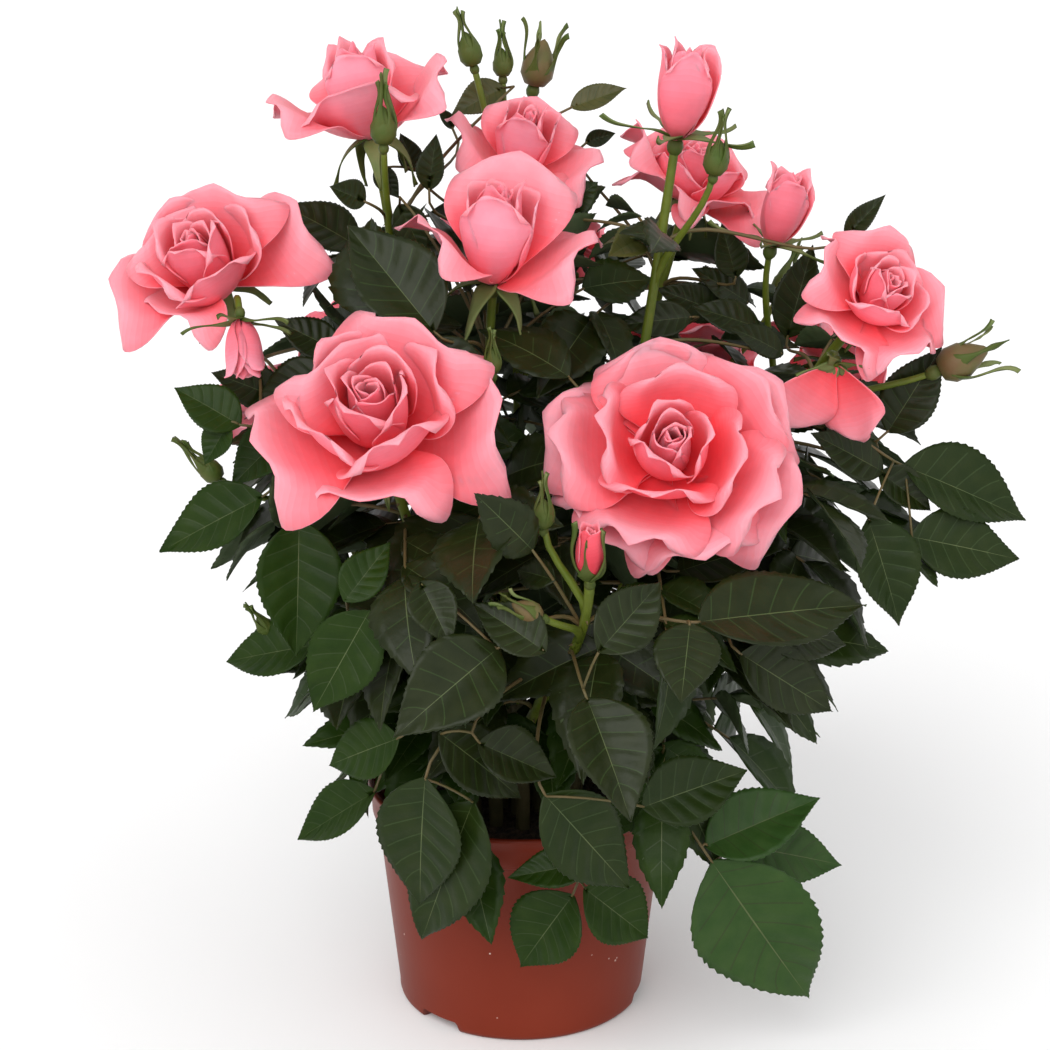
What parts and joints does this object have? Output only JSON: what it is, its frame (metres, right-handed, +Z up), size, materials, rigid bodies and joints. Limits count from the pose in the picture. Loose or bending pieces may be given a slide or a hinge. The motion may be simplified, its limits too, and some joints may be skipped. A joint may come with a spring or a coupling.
{
  "type": "potted rose bush",
  "caption": "Bushy miniature rose with large pink blooms and dark green leaves, growing in a round tapered plastic pot.",
  "frame": {"origin": "centre of the pot's flat underside, on the pot's axis", "axes": "+Z up along the pot's axis, -Y towards the front, where the two largest blooms face"},
  "size_m": [0.3396, 0.3052, 0.3841],
  "materials": {
    "pot": "satin",
    "peat": "matte",
    "cane": "satin",
    "foliage": "satin",
    "petals": "matte"
  },
  "bodies": {
    "root": {"pot": "pot", "soil": "peat", "cane_front_left": "cane", "cane_front": "cane", "cane_front_right": "cane", "cane_low_right": "cane", "cane_right": "cane", "cane_back_right": "cane", "cane_far_back_right": "cane", "cane_back": "cane", "cane_far_back_left": "cane", "cane_back_left": "cane", "cane_left": "cane", "cane_low_left": "cane", "cane_centre": "cane", "cane_upper_right": "cane", "cane_upper_back_right": "cane", "cane_upper_back": "cane", "cane_upper_left": "cane", "foliage_front_left": "foliage", "foliage_front": "foliage", "foliage_front_right": "foliage", "foliage_low_right": "foliage", "foliage_right": "foliage", "foliage_back_right": "foliage", "foliage_far_back_right": "foliage", "foliage_back": "foliage", "foliage_far_back_left": "foliage", "foliage_back_left": "foliage", "foliage_left": "foliage", "foliage_low_left": "foliage", "foliage_centre": "foliage", "foliage_upper_right": "foliage", "foliage_upper_back_right": "foliage", "foliage_upper_back": "foliage", "foliage_upper_left": "foliage"}
  },
  "joints": []
}
